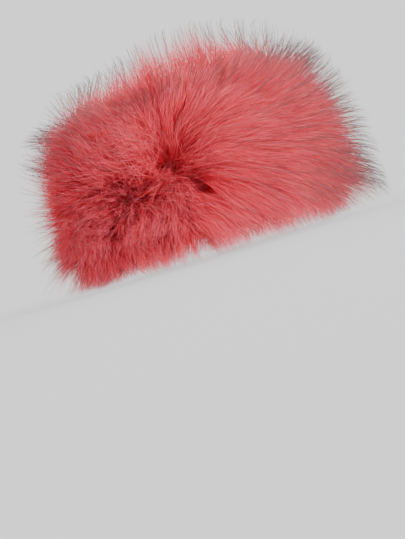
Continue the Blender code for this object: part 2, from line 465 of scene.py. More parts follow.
def lay(along, across):
    """How the pile lies at each root: its angle from the along direction, and its lean."""
    height = across / HALF_WALL
    wander = waves(along, across, 6, 90 * MM, 3)
    # The front is combed away from the right-hand seam, fanning up above and down below.
    front = np.radians(np.interp(height, FRONT_HEIGHTS, FRONT_DEGREES) + 10 * wander)
    # The back parts along a wavering line, up above it and down below.
    parting = PARTING_HEIGHT + 0.25 * waves(along, 0 * across, 4, 150 * MM, 5)
    above = smooth(height - parting, -0.35, 0.35)
    back = np.radians(-72 + 180 * above + 34 * wander)
    # The two meet in a crease at mid height, and run together over the top.
    width = (3 + 27 * smooth(height, 0.15, 0.9)) * MM
    past = from_forehead(along) - SEAM
    rear = smooth(past / width, -1, 1)
    direction = front + (back - front) * rear
    # The crease itself is unkempt.
    crease = bump(past, 22 * MM) * bump(height + 0.1, 0.7)
    direction = direction + crease * 0.55 * waves(along, across, 8, 16 * MM, 27)
    # The forehead, the parting, the tops of the seams and the upper edge stand more upright.
    brow = 1 - smooth(from_forehead(along), 20 * MM, 90 * MM)
    lean_front = np.radians(60 - 20 * brow + 6 * waves(along, across, 5, 60 * MM, 7))
    lean_back = np.radians(44 + 12 * waves(along, across, 5, 45 * MM, 9))
    lean_back = lean_back * (1 - 0.38 * bump(height - parting, 0.28))
    lean = lean_front + (lean_back - lean_front) * rear
    lean = lean * (1 - 0.3 * bump(past, 20 * MM) * smooth(height, 0.3, 0.9))
    lean = lean * (1 - 0.6 * smooth(height, 0.5, 1.15))
    return swirl(along, across, direction, lean)


def grow(along, across, joints, length, lift, tousle, seed):
    """Fibre paths before they gather: an array of root, joint and (along, out, up)."""
    draw = np.random.default_rng(seed)
    count = len(along)
    out, up, normal_out, normal_up = section_at(across)
    # Along the upper fold the fibres fall to both sides, which hides the edge of the band.
    on_fold = smooth(across, HALF_WALL, HALF_WALL + 0.3 * FOLD_LENGTH)
    normal_out = normal_out + draw.normal(0, 0.38, count) * on_fold
    direction, lean = lay(along, across)
    direction = direction + draw.normal(0, 1, count) * (0.18 + tousle * backness(along))
    lean = np.clip(lean * lift + draw.normal(0, 0.12, count), 0.05, 1.35)
    path = np.zeros((count, len(joints), 3))
    path[:, 0] = np.stack([along, out, up], axis=-1)
    for k, (t, following) in enumerate(zip(joints, joints[1:])):
        middle = (t + following) / 2
        bend = lean * (0.55 + 0.75 * middle)  # a fibre leans further towards its tip
        along_part = np.sin(bend) * np.cos(direction)
        rise = np.sin(bend) * np.sin(direction)
        normal = np.cos(bend)
        # The rise runs along the fabric, which turns inwards over each edge, and the tips sag.
        out_part = normal * normal_out - rise * normal_up * 0.2
        up_part = normal * normal_up + rise * np.abs(normal_out) - 0.16 * middle
        step = unit(np.stack([along_part, out_part, up_part], axis=-1))
        step *= (length * (following - t))[:, None]
        step[:, 0] /= (MEAN_RADIUS + path[:, k, 1]) / MEAN_RADIUS
        path[:, k + 1] = path[:, k] + step
    return path


def scattered(count, seed):
    """Random roots over the fur fabric, even but for a thicker row along the upper edge."""
    draw = np.random.default_rng(seed)
    along = draw.uniform(-GIRTH / 2, GIRTH / 2, count)
    across = draw.uniform(-HALF_SECTION, HALF_SECTION, count)
    top = draw.uniform(0.7 * HALF_WALL, HALF_WALL + 0.5 * FOLD_LENGTH, count)
    return along, np.where(draw.random(count) < 0.12, top, across)


def tufts(spacing, seed):
    """Centres of a jittered grid over the fur fabric: (along, across), column and row."""
    draw = np.random.default_rng(seed)
    columns, rows = round(GIRTH / spacing), round(2 * HALF_SECTION / spacing)
    i, j = np.indices((columns, rows))
    along = (i + draw.random(i.shape)) * GIRTH / columns - GIRTH / 2
    across = (j + draw.random(j.shape)) * 2 * HALF_SECTION / rows - HALF_SECTION
    return np.stack([along, across])


def nearest(along, across, centres):
    """Index of the tuft centre nearest each root, in the flattened grid."""
    columns, rows = centres.shape[1:]
    i0 = np.floor((along + GIRTH / 2) / GIRTH * columns).astype(int)
    j0 = np.floor((across + HALF_SECTION) / (2 * HALF_SECTION) * rows).astype(int)
    best = np.full(len(along), np.inf)
    chosen = np.zeros(len(along), int)
    for di in (-1, 0, 1):
        for dj in (-1, 0, 1):
            i = (i0 + di) % columns
            j = np.clip(j0 + dj, 0, rows - 1)
            gap = offset_from(centres[0, i, j], along)
            distance = gap**2 + (centres[1, i, j] - across) ** 2
            closer = distance < best
            best = np.where(closer, distance, best)
            chosen = np.where(closer, i * rows + j, chosen)
    return chosen


def gathered(path, guides, chosen, amount, joints, power):
    """The paths drawn towards their tuft's guide, more so towards the tip."""
    guide = guides[chosen]
    guide[..., 0] -= np.round((guide[:, :1, 0] - path[:, :1, 0]) / GIRTH) * GIRTH
    weight = amount[:, None] * joints[None, :] ** power
    return path + (guide - path) * weight[..., None]


def curled(path, joints, width, turns, seed):
    """The paths with a loose spiral that widens towards the tip."""
    draw = np.random.default_rng(seed)
    count = len(path)
    phase = draw.uniform(0, math.tau, count)
    turns = turns * draw.uniform(0.5, 1.4, count)
    swing = phase[:, None] + math.tau * turns[:, None] * joints[None, :]
    size = width[:, None] * joints[None, :] * draw.uniform(0.3, 1.5, count)[:, None]
    moved = path.copy()
    moved[..., 0] += size * (np.cos(swing) - np.cos(phase)[:, None] * (1 - joints))
    moved[..., 1] += 0.5 * size * np.sin(swing)
    moved[..., 2] += size * (np.sin(swing) - np.sin(phase)[:, None] * (1 - joints))
    return moved


def trimmed(path, joints, margin, bottom):
    """Each path cut short where it leaves the pile's outline or meets its own bottom."""
    margin, bottom = margin[:, None], bottom[:, None]
    rise = path[..., 2] - CENTRE_HEIGHT
    beyond = path[..., 1] - CROWN_OFFSET
    reach_up = FUR_TOP + CROWN_TUFT - CENTRE_HEIGHT + margin
    reach_out = np.maximum(FUR_OUT - CROWN_OFFSET + margin, LEAST_REACH)
    share_out = np.where(beyond > 0, beyond / reach_out, -beyond / INWARD_REACH)
    share_up = np.where(rise > 0, rise / reach_up, -rise / (CENTRE_HEIGHT + SINK))
    outside = share_out**ROUNDNESS + share_up**ROUNDNESS - 1
    points = path_points(path)
    share_length = np.abs(points[..., 1] - DOME_CENTRE) / (DOME_HALF_LENGTH + margin)
    dome_height = FUR_TOP + CROWN_TUFT - DOME_BASE + margin
    share_height = np.clip(points[..., 2] - DOME_BASE, 0, None) / dome_height
    dome = share_length**DOME_ROUNDNESS + share_height**DOME_ROUNDNESS - 1
    outside = np.maximum(outside, dome)
    outside = np.maximum(outside, (bottom - path[..., 2]) / (10 * MM))
    # A root outside the outline grows a short fibre.
    kept = np.where(outside[:, 0] > 0, SHORT_GROWTH, 1.0)
    for k in range(len(joints) - 1, 0, -1):
        crosses = (outside[:, k] > 0) & (outside[:, k - 1] <= 0)
        share = -outside[:, k - 1] / (outside[:, k] - outside[:, k - 1] + 1e-12)
        kept = np.where(crosses, joints[k - 1] + share * (joints[k] - joints[k - 1]), kept)
    kept = np.maximum(kept, LEAST_GROWTH)
    place = kept[:, None] * joints[None, :] * (len(joints) - 1)
    first = np.clip(place.astype(int), 0, len(joints) - 2)
    share = (place - first)[..., None]
    rows = np.arange(len(path))[:, None]
    return path[rows, first] * (1 - share) + path[rows, first + 1] * share


def eased(value, start, limit):
    """The values, slowed past start, so that none reaches the limit."""
    room = limit - start
    return np.where(value > start, start + room * np.tanh((value - start) / room), value)


def settled(path):
    """The paths kept off the floor and the band, and inside the strays' room."""
    along, out, up = np.moveaxis(path, -1, 0)
    below = np.clip(FLOOR_GAP + MM - up, 0, None)
    up = np.where(below > 0, FLOOR_GAP + MM * np.exp(-below / MM), up)
    out = eased(out, FUR_OUT + ROOM_OUT[0], FUR_OUT + ROOM_OUT[1])
    up = eased(up, FUR_TOP + ROOM_UP[0], FUR_TOP + ROOM_UP[1])
    beside = (up > BAND_BOTTOM) & (up < BAND_TOP)
    root = path[..., :1, 1]
    out = np.where(beside & (root > FOLD), np.maximum(out, root), out)
    out = np.where(beside & (root <= FOLD), np.minimum(out, -INSIDE_GAP), out)
    out[:, 0] = path[:, 0, 1]
    return np.stack([along, out, up], axis=-1)


def fibre_mesh(name, path, widths, tint, joints, material):
    """Closed three-sided tapered tubes along the paths, each ending in a point."""
    points = path_points(path)
    ahead = unit(np.gradient(points, axis=1))
    reference = np.where(np.abs(ahead[:, :1, 2:3]) > 0.8, (1.0, 0.0, 0.0), (0.0, 0.0, 1.0))
    tube = rings_round(points, ahead, reference, widths, 3)[:, :-1]
    tube = tube.reshape(len(points), -1, 3)
    verts = np.concatenate([tube, points[:, -1:]], axis=1)
    faces = [(0, 2, 1), *tube_faces(len(joints) - 1, 3, tube.shape[1])]
    piece, corners = many_tubes(name, verts, faces, material)
    column = np.floor(tint * COLUMNS).clip(0, COLUMNS - 1)[:, None, None]
    place = (column + CORNER_PLACES) / COLUMNS, joints[:-1, None]
    chart = np.stack(np.broadcast_arrays(*place), axis=-1).reshape(len(points), -1, 2)
    tips = np.stack([(column + 0.5) / COLUMNS, np.ones_like(column)], axis=-1)[..., 0, :]
    set_chart(piece, np.concatenate([chart, tips], axis=1).reshape(-1, 2)[corners])
    return piece


COLUMNS = 32  # of tints between a material's two colours
CORNER_PLACES = (0.15, 0.5, 0.85)  # of a fibre's three corners in its column

# Colours from root to tip, for the two ends of each material's range. The fur's dark roots are
# partly painted shade from deep in the pile, and its pale tips partly painted light on the top of
# the pile.
FUR_STOPS, PALE_STOPS, DARK_STOPS = (0, 0.4, 0.75, 1), (0, 0.45, 0.66, 1), (0, 0.45, 0.7, 1)
CORAL = (0.46, 0.002, 0.012), (0.70, 0.014, 0.034), (0.92, 0.075, 0.118), (0.95, 0.23, 0.285)
DEEP = (0.26, 0.001, 0.008), (0.42, 0.004, 0.014), (0.66, 0.022, 0.042), (0.82, 0.11, 0.148)
PALE_HAIR = (0.40, 0.02, 0.03), (0.80, 0.14, 0.17), (0.26, 0.10, 0.10), (0.04, 0.03, 0.027)
DARK_HAIR = (0.25, 0.01, 0.02), (0.6, 0.08, 0.10), (0.12, 0.055, 0.055), (0.03, 0.022, 0.02)
FUR_COLOURS = list(zip(FUR_STOPS, CORAL)), list(zip(FUR_STOPS, DEEP))
HAIR_COLOURS = list(zip(PALE_STOPS, PALE_HAIR)), list(zip(DARK_STOPS, DARK_HAIR))

MOST_PER_PIECE = 195_000  # triangles


def split_into_pieces(name, path, widths, tint, joints, material):
    """Fibres in sectors round the band, so that each piece stays a moderate size."""
    most = MOST_PER_PIECE // (6 * (len(joints) - 2) + 4)
    along = path[:, 0, 0]
    rear = backness(along) > 0.5
    for panel, here, where in (("front", ~rear, along), ("back", rear, along % GIRTH)):
        chosen = np.flatnonzero(here)
        chosen = chosen[np.argsort(where[chosen], kind="stable")]
        parts = math.ceil(len(chosen) / most)
        for number, group in enumerate(np.array_split(chosen, parts), 1):
            label = f"{panel}_{name}_{number:02d}"
            piece = fibre_mesh(label, path[group], widths[group], tint[group], joints, material)
            stretches = path_points(path[group])[..., 1].max() > STRETCH_START[1]
            body = BACK if panel == "back" or stretches else FRONT
            hold(piece, body, f"{panel}_fur_pile")


# Fibre sizes in millimetres: shortest and longest, before the outline trims them.
LOCK_LENGTH, TUFT_LENGTH, FIBRE_LENGTH, HAIR_LENGTH = (50, 62), (48, 70), (48, 68), (60, 96)
LOCK_SPACING, TUFT_SPACING = 12, 2.3
FIBRE_RADIUS, HAIR_RADIUS = 0.14, 0.15
STRAY_REACH, HAIR_REACH = (2, 22), (2, 26)  # past the dense pile
STRAY_SHARE = 0.36
STRAND_TINT = 0.05


def make_fur():
    """Fibres that gather into tufts, which gather into locks, and longer guard hairs over them."""
    joints = JOINTS
    lock_grid, tuft_grid = tufts(LOCK_SPACING * MM, 11), tufts(TUFT_SPACING * MM, 12)
    lock_roots, tuft_roots = lock_grid.reshape(2, -1), tuft_grid.reshape(2, -1)
    draw = np.random.default_rng(13)

    count = lock_roots.shape[1]
    lock_bottom = draw.uniform(-3, 3, count) * MM
    lock_margin = draw.normal(0, 2.5, count) * MM
    length = draw.uniform(*LOCK_LENGTH, count) * MM
    locks = grow(*lock_roots, joints, length, 1.0, 0.6, 14)
    rear = backness(lock_roots[0])
    locks = curled(locks, joints, (2 + 5 * rear) * MM, 0.7, 15)

    count = tuft_roots.shape[1]
    length = draw.uniform(*TUFT_LENGTH, count) * MM
    guides = grow(*tuft_roots, joints, length, 1.0, 0.75, 16)
    rear = backness(tuft_roots[0])
    guides = curled(guides, joints, (1.0 + 3.6 * rear) * MM, 0.9, 17)
    lock_of_tuft = nearest(*tuft_roots, lock_grid)
    guides = gathered(guides, locks, lock_of_tuft, 0.25 + 0.18 * rear, joints, 1.3)
    tuft_margin = draw.uniform(-6, 2, count) * MM * (1 + 0.6 * rear) + lock_margin[lock_of_tuft]
    tuft_bottom = lock_bottom[lock_of_tuft] + draw.uniform(-2, 2, count) * MM
    # A random tone per tuft, wider on the back: partly the fur's own spread, partly painted light
    # and shade between lit and shaded tufts.
    tuft_tint = draw.normal(0, 1, count) * (0.22 + 0.12 * rear)

    count = FIBRES
    along, across = scattered(count, 18)
    edge = smooth(np.abs(across), HALF_WALL + FOLD_LENGTH * 0.5, HALF_SECTION)
    rim = smooth(across / HALF_WALL, 0.3, 1.0)
    fold = smooth(across, 0.9 * HALF_WALL, HALF_WALL + 0.4 * FOLD_LENGTH)
    lower = smooth(-across / HALF_WALL, 0.2, 1.0)
    brow, rear = foreheadness(along), backness(along)
    length = draw.uniform(*FIBRE_LENGTH, count) * (1 - 0.72 * edge) * (1 + 0.2 * rim) * MM
    # Short fibres among the long ones fill the upper edge.
    short = draw.random(count) < 0.5 * fold
    length *= np.where(short, draw.uniform(0.3, 0.7, count), 1)
    # Thicker pale strands lie loose over the rest, most of them on the back panel.
    strand = draw.random(count) < (0.02 + 0.08 * rear) * (1 - rim)
    fibres = grow(along, across, joints, length, 1.0, 0.25 + 0.4 * strand, 19)
    fibres = curled(fibres, joints, (0.8 + 0.9 * rear) * MM, 1.0, 21)
    chosen = nearest(along, across, tuft_grid)
    held = draw.random(count) < 0.76 + 0.12 * rear
    hold_on = np.where(held, 0.6 + 0.34 * rear, 0.12) * (1 - edge) * (1 - 0.8 * rim)
    hold_on = np.where(strand, 0.4 * hold_on, hold_on)
    fibres = gathered(fibres, guides, chosen, hold_on, joints, 0.6)
    # Most tips end near their tuft's, and the strays run on into a thin haze.
    margin = tuft_margin[chosen] + (draw.uniform(-9, 3, count) - 3 * rear) * MM
    margin = np.where(strand, draw.uniform(-4, 6, count) * MM, margin)
    # The forehead's pile is shorter, most of all along its edges.
    margin -= (brow * (6 + 5 * lower + 6 * rim) + 7 * rear * rim) * MM
    stray = (draw.random(count) < STRAY_SHARE) & ~strand
    margin += np.where(stray, draw.uniform(*STRAY_REACH, count) * (1 - 0.5 * rim), 0) * MM
    bottom = np.clip(tuft_bottom[chosen] + draw.normal(0, 2, count) * MM, 0.5 * MM, None)
    fibres = settled(trimmed(fibres, joints, margin, bottom))
    taper = FIBRE_RADIUS * MM * (1 - 0.8 * joints**1.5)
    stoutness = draw.uniform(0.75, 1.2, count) * np.where(stray, 0.58, np.where(strand, 1.5, 1))
    # Deeper in the whorls and on the back, paler on the forehead and along the lower edge: painted
    # shade in the whorls' pits and over the back, which faces away from the light, and painted
    # light on the forehead and along the lower edge.
    tint = 0.38 + 0.07 * rear + 0.2 * waves(along, across, 6, 50 * MM, 22) + tuft_tint[chosen]
    tint = tint + 0.12 * rear - 0.12 * brow - (0.15 + 0.33 * rear) * lower
    tint = tint + 0.25 * near_whorls(along, across, 2.5)
    # The random spread per fibre is partly the fur's own, partly painted light and shade between
    # lit and shaded fibres.
    tint = np.where(strand, STRAND_TINT, tint + draw.normal(0, 0.16, count)).clip(0, 0.999)
    material = fibre_material("coral_fur", *FUR_COLOURS, 0.55)
    split_into_pieces("fur", fibres, taper * stoutness[:, None], tint, joints, material)
    make_guard_hairs(draw)


def make_guard_hairs(draw):
    """The long dark-tipped hairs that stand out of the pile."""
    joints = GUARD_JOINTS
    along, across = scattered(GUARD_HAIRS, 23)
    # They stand thickest over the forehead and thinnest over the side seams and the whorls.
    common = (1 - 0.72 * bump(np.abs(along) - SEAM, 75 * MM)) * (1 - 0.25 * backness(along))
    common = np.maximum(common, 0.85 * smooth(across / HALF_WALL, 0.4, 0.9))
    common *= 0.8 + 0.2 * foreheadness(along)
    kept = draw.random(GUARD_HAIRS) < common * (1 - near_whorls(along, across, 3.0))
    along, across = along[kept], across[kept]
    count = len(along)
    edge = smooth(np.abs(across), HALF_WALL + FOLD_LENGTH * 0.4, HALF_SECTION)
    length = draw.uniform(*HAIR_LENGTH, count) * (1 - 0.7 * edge) * MM
    hairs = grow(along, across, joints, length, 0.68, 0.25, 24)
    hairs = curled(hairs, joints, np.full(count, 2.0 * MM), 0.6, 25)
    margin = draw.uniform(*HAIR_REACH, count) * (1 + 0.15 * foreheadness(along)) * MM
    hairs = settled(trimmed(hairs, joints, margin, draw.uniform(0.5, 6, count) * MM))
    taper = HAIR_RADIUS * MM * (1 - 0.6 * joints**3)
    widths = taper * draw.uniform(0.8, 1.25, count)[:, None]
    tint = draw.uniform(0, 0.999, count)
    material = fibre_material("guard_hair", *HAIR_COLOURS, 0.45)
    split_into_pieces("guard_hairs", hairs, widths, tint, joints, material)


# --- The sewn band


def heights(node):
    return [corner[2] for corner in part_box(node)]


HEM = BAND_TOP - heights("front_upper_hem_stitch")[0] - 0.6 * MM
ELASTIC_LOW, ELASTIC_HIGH = heights("elastic")
CASING_LOW, CASING_HIGH = heights("elastic_casing")
CASING_ROWS = ((ELASTIC_LOW + CASING_LOW) / 2, (ELASTIC_HIGH + CASING_HIGH) / 2)
LINING_LOW, LINING_HIGH = heights("front_lining")
# Each layer's inner and outer face, as an offset outwards from the lining's face.
LINING, WADDING = (0, LINING_THICK), (2.2 * MM, 4.7 * MM)
ELASTIC, CASING = (2.2 * MM, 3.4 * MM), (3.8 * MM, 4.6 * MM)
BACKING_THICK = 1.4 * MM
SEAM_ROOM = 2.4 * MM  # left free on each side of a side seam, for its turned edges
PANELS = ("front", FRONT, (-SEAM, SEAM)), ("back", BACK, (SEAM, GIRTH - SEAM))
INSIDE_BACK = SEAM + SEAM_ROOM, GIRTH - SEAM - SEAM_ROOM
NAPE = GIRTH / 2  # along, at the middle of the back
SWEEP_STEPS = 300
BACK_FULLNESS = 1.12  # the back lining's length before it is gathered, to the arc that it covers
ELASTIC_SLACK = 0.85  # the elastic's length at rest, to the arc that it is stretched over


def swept(name, section, start, end, material, shift=None):
    """A closed solid: an (out, up) section from start to end; shift moves its points out."""
    section = np.array(section)
    count = len(section)
    along = np.linspace(start, end, SWEEP_STEPS + 1)
    where, out = np.meshgrid(along, section[:, 0], indexing="ij")
    up = np.broadcast_to(section[:, 1], out.shape)
    if shift:
        out = out + shift(where, up)
    points = wrapped(where, out, up).reshape(-1, 3)
    k, i = np.meshgrid(np.arange(SWEEP_STEPS), np.arange(count), indexing="ij")
    j = (i + 1) % count
    near, far = k * count, (k + 1) * count
    quads = np.stack([near + i, far + i, far + j, near + j], axis=-1)
    piece = mesh_object(name, points, quads.reshape(-1, 4), material)
    # One chart for all the cloth: metres along and round the section, as shares of the girth.
    round_it = np.concatenate([[0], np.cumsum(sides_of(section))])
    across = np.stack([round_it[i], round_it[i], round_it[i + 1], round_it[i + 1]], axis=-1)
    ahead = np.stack([along[k], along[k + 1], along[k + 1], along[k]], axis=-1) - start
    set_chart(piece, np.stack([ahead, across], axis=-1) / GIRTH)
    cap_ends(piece.data, count)
    return piece


def sides_of(section):
    return np.linalg.norm(np.roll(section, -1, axis=0) - section, axis=1)


def cap_ends(mesh, count):
    work = bmesh.new()
    work.from_mesh(mesh)
    work.verts.ensure_lookup_table()
    work.faces.new([work.verts[i] for i in range(count)])
    work.faces.new([work.verts[SWEEP_STEPS * count + i] for i in reversed(range(count))])
    bmesh.ops.recalc_face_normals(work, faces=work.faces)
    work.to_mesh(mesh)
    work.free()


def ribbon(centre, thickness):
    """The section of a cloth along an (out, up) centre line, with rounded edges."""
    centre = np.array(centre)
    ahead = np.gradient(centre, axis=0)
    ahead *= thickness / 2 / np.linalg.norm(ahead, axis=1, keepdims=True)
    side = np.stack([ahead[:, 1], -ahead[:, 0]], axis=1)
    turns = np.linspace(0, math.pi, 5)[1:-1, None]
    far_edge = centre[-1] + np.cos(turns) * side[-1] + np.sin(turns) * ahead[-1]
    near_edge = centre[0] - np.cos(turns) * side[0] - np.sin(turns) * ahead[0]
    return np.concatenate([centre + side, far_edge, (centre - side)[::-1], near_edge])


def run(out, first, last, count):
    return [(out, up) for up in np.linspace(first, last, count)]


def arc(out, up, radius, turns):
    return [(out + radius * math.cos(turn), up + radius * math.sin(turn)) for turn in turns]


def wall_section(faces, low, high, rows=24):
    """A flat cloth's section between two heights."""
    inner, outer = faces
    half = (outer - inner) / 2
    return ribbon(run((inner + outer) / 2, low + half, high - half, rows), outer - inner)


def hemmed_section():
    """The fur fabric's knitted base: a wall, folded over at each edge into a hem inside."""
    flap = BACKING_THICK / 2
    bend = FOLD - flap
    crown, foot = BAND_TOP - FOLD, BAND_BOTTOM + FOLD
    centre = run(flap, BAND_TOP - HEM, crown, 6)[:-1]
    centre += arc(FOLD, crown, bend, np.linspace(math.pi, 0, 8))
    centre += run(FOLD + bend, crown, foot, 20)[1:-1]
    centre += arc(FOLD, foot, bend, np.linspace(0, -math.pi, 8))
    centre += run(flap, foot, BAND_BOTTOM + HEM, 6)[1:]
    return ribbon(centre, BACKING_THICK)


def pleated(turns):
    return 0.5 - 0.5 * np.cos(turns)


def between_seams(along, start, end):
    """0 by the side seams, rising to 1 over these distances from them."""
    return smooth(np.minimum(along - SEAM, GIRTH - SEAM - along), start, end)


def gathers(along, up):
    """How far the back's lining is drawn into pleats between its stitching."""
    free = between_seams(along, 0, 8 * MM)
    for row in (LINING_LOW, *CASING_ROWS, LINING_HIGH):
        free = free * (1 - 0.94 * bump(up - row, 3.5 * MM))
    free = free * (1 - 0.8 * np.exp(-(((along - NAPE) / (15 * MM)) ** 4)))  # flat by the label
    wander = 1.3 * np.sin(along / (17 * MM)) + 0.9 * np.sin(along / (7.3 * MM) + 2 + up / (30 * MM))
    return -1.5 * MM * free * pleated(math.tau * along / (6.6 * MM) + wander) ** 1.4


def casing_gathers(along, up):
    """The casing's shallow pleats, which point away from the elastic that it holds."""
    pleats = pleated(math.tau * along / (5.1 * MM) + np.sin(along / (11 * MM)))
    return 0.35 * MM * between_seams(along, 3 * MM, 10 * MM) * pleats


def loft(along, up):
    return 0.25 * MM * np.sin(along / (4.1 * MM) + 1.7 * np.sin(up / (5.3 * MM)))


def elastic_section(ribs=20, steps=6):
    """A woven elastic's section: ribs lengthways on both faces."""
    inner, outer = ELASTIC
    count = ribs * steps
    levels = np.linspace(ELASTIC_LOW + 0.6 * MM, ELASTIC_HIGH - 0.6 * MM, count + 1)
    rib = 0.16 * MM * (1 - pleated(math.tau * np.arange(count + 1) / steps))
    face = np.stack([outer - rib, levels], axis=-1)
    back = np.stack([inner + rib, levels], axis=-1)[::-1]
    middle = (inner + outer) / 2
    return np.concatenate([face, [(middle, ELASTIC_HIGH)], back, [(middle, ELASTIC_LOW)]])


THREAD_SIDES = 6
THREAD_JOINTS = np.linspace(0, 1, 7)
THREAD_ENDS = 0.25 * MM  # by which a thread's ends dip into the cloth
THREAD_COLOURS = (0.62, 0.09, 0.11), (0.88, 0.20, 0.22)
THREAD = cloth_material("coral_thread", *THREAD_COLOURS, 0.6, 0.1, 0.4, 2500)


def stitches(name, body, node, starts, ends, face=0.0, radius=0.32 * MM, rise=0.35 * MM):
    """A closed rounded thread from each (along, up) start to its end, bulging towards the head."""
    starts, ends = np.asarray(starts), np.asarray(ends)
    place = starts[:, None] + (ends - starts)[:, None] * THREAD_JOINTS[None, :, None]
    lift = np.sin(math.pi * THREAD_JOINTS)
    out = face + THREAD_ENDS - (rise + THREAD_ENDS) * lift[None, :] + 0 * place[..., 0]
    points = wrapped(place[..., 0], out, place[..., 1])
    ahead = unit(np.gradient(points, axis=1))
    widths = np.broadcast_to(radius * np.abs(lift) ** 0.35, out.shape)
    tube = rings_round(points, ahead, points * (1, 1, 0), widths, THREAD_SIDES)[:, 1:-1]
    tube = tube.reshape(len(points), -1, 3)
    verts = np.concatenate([tube, points[:, :1], points[:, -1:]], axis=1)
    root, tip = tube.shape[1], tube.shape[1] + 1
    faces = tube_faces(len(THREAD_JOINTS) - 2, THREAD_SIDES, tip, root)
    piece, _ = many_tubes(name, verts, faces, THREAD)
    hold(piece, body, node)


def running(line, pitch, filled=0.72):
    """Starts and ends of stitches of this pitch along an (along, up) line of points."""
    starts, ends = [], []
    for first, second in zip(np.array(line)[:-1], np.array(line)[1:]):
        count = max(1, round(np.linalg.norm(second - first) / pitch))
        step = (second - first) / count
        for k in range(count):
            starts.append(first + step * (k + (1 - filled) / 2))
            ends.append(first + step * (k + (1 + filled) / 2))
    return starts, ends


def slanting(start, end, middle, pitch=4.2 * MM, reach=3.4 * MM, lean=1.6 * MM):
    """Starts and ends of leaning stitches across a line at the height middle."""
    along = np.arange(start + pitch, end - pitch / 2, pitch)
    centres = np.stack([along, np.full(len(along), middle)], axis=-1)
    half = np.array((lean, reach)) / 2
    return centres - half, centres + half


def zigzag(along, low, high, width, pitch):
    """Starts and ends of a narrow zigzag that climbs a seam."""
    count = round((high - low) / pitch)
    sides = along + width / 2 * np.where(np.arange(count + 1) % 2, 1, -1)
    points = np.stack([sides, np.linspace(low, high, count + 1)], axis=-1)
    return points[:-1], points[1:]


def make_cloth(name, body, slot, node, section, span, material, flat, held, shift=None):
    piece = swept(name, section, *span, material, shift)
    hold(piece, body, node)


def make_fur_fabric():
    dark, light = (0.30, 0.006, 0.016), (0.56, 0.035, 0.055)
    spacings = (1.1 * MM, 1.5 * MM, 0.25 * MM)
    knit = chart_material("knit_backing", dark, light, 0.9, 0.03, *spacings)
    section = hemmed_section()
    tall = sides_of(section).sum() / 2
    for panel, body, span in PANELS:
        name, node = f"{panel}_knit_backing", f"{panel}_fur_backing"
        flat = (span[1] - span[0], tall)
        make_cloth(name, body, "backing", node, section, span, knit, flat, "folded")


def make_linings():
    dark, light = (0.56, 0.10, 0.11), (0.80, 0.23, 0.25)
    fleece = cloth_material("fleece_lining", dark, light, 0.95, 0.35, 0.6, 900)
    section = wall_section(LINING, LINING_LOW, LINING_HIGH, 44)
    ways = {"front": (1.0, "stretched", None), "back": (BACK_FULLNESS, "gathered", gathers)}
    for panel, body, span in PANELS:
        fullness, *way = ways[panel]
        name, node = f"{panel}_lining_cloth", f"{panel}_lining"
        flat = ((span[1] - span[0]) * fullness, LINING_HIGH - LINING_LOW)
        make_cloth(name, body, "lining", node, section, span, fleece, flat, *way)
    name, node, span = "elastic_casing_strip", "elastic_casing", INSIDE_BACK
    section = wall_section(CASING, CASING_LOW, CASING_HIGH, 20)
    flat = (span[1] - span[0], CASING_HIGH - CASING_LOW)
    way = "gathered", casing_gathers
    make_cloth(name, BACK, "lining", node, section, span, fleece, flat, *way)


def make_wadding():
    dark, light = (0.74, 0.72, 0.68), (0.88, 0.86, 0.82)
    white = cloth_material("white_wadding", dark, light, 0.95, 0.3, 0.8, 500)
    name, node, end = "wadding", "front_interlining", SEAM - SEAM_ROOM
    low, high = heights(node)
    section, flat = wall_section(WADDING, low, high), (2 * end, high - low)
    make_cloth(name, FRONT, "wadding", node, section, (-end, end), white, flat, "laid", loft)


def make_elastic():
    dark, light = (0.66, 0.65, 0.62), (0.90, 0.89, 0.86)
    spacings = (2.5 * MM, 0.8 * MM, 0.12 * MM)
    woven = chart_material("woven_elastic", dark, light, 0.7, 0.1, *spacings)
    start, end = INSIDE_BACK
    name, node, section = "wide_elastic", "elastic", elastic_section()
    flat = ((end - start) * ELASTIC_SLACK, ELASTIC_HIGH - ELASTIC_LOW)
    make_cloth(name, BACK, "elastic", node, section, INSIDE_BACK, woven, flat, "stretched")
    # A crossed box of stitches at each end.
    inset, wide, margin, pitch = 1.0 * MM, 5.0 * MM, 3 * MM, 2.6 * MM
    low, high = ELASTIC_LOW + margin, ELASTIC_HIGH - margin
    for side, near in (("left", start + inset), ("right", end - inset - wide)):
        far = near + wide
        corners = [(near, low), (near, high), (far, high), (far, low), (near, low), (far, high)]
        starts, ends = running(corners, pitch)
        more_starts, more_ends = running([(near, high), (far, low)], pitch)
        rows = starts + more_starts, ends + more_ends
        name, node = f"{side}_elastic_box_stitches", f"{side}_elastic_end_stitch"
        stitches(name, BACK, node, *rows, face=1.75 * MM, radius=0.22 * MM, rise=0.1 * MM)


def make_stitching():
    for panel, body, span in PANELS:
        for place, edge in (("upper", LINING_HIGH), ("lower", LINING_LOW)):
            name, node = f"{panel}_{place}_whip_stitches", f"{panel}_{place}_hem_stitch"
            stitches(name, body, node, *slanting(*span, edge))
    start, end = INSIDE_BACK
    for place, row in zip(("lower", "upper"), CASING_ROWS):
        rows = running([(start, row), (end, row)], 2.8 * MM)
        name, node = f"casing_{place}_row", f"casing_{place}_stitch"
        stitches(name, BACK, node, *rows, radius=0.26 * MM, rise=0.3 * MM)
    inset, past_seam = 2 * MM, 0.9 * MM
    for side, along in (("left", SEAM - past_seam), ("right", -SEAM + past_seam)):
        rows = zigzag(along, LINING_LOW + inset, LINING_HIGH - inset, 1.2 * MM, 1.5 * MM)
        name, node = f"{side}_lining_zigzag", f"{side}_lining_seam_stitch"
        stitches(name, FRONT, node, *rows, radius=0.22 * MM, rise=0.3 * MM)
        line = [(along, BAND_BOTTOM + inset), (along, BAND_TOP - inset)]
        name, node = f"{side}_seam_chain", f"{side}_side_seam_thread"
        rows = running(line, 2.6 * MM, filled=0.9)
        stitches(name, FRONT, node, *rows, face=3.4 * MM, radius=0.4 * MM, rise=0.5 * MM)


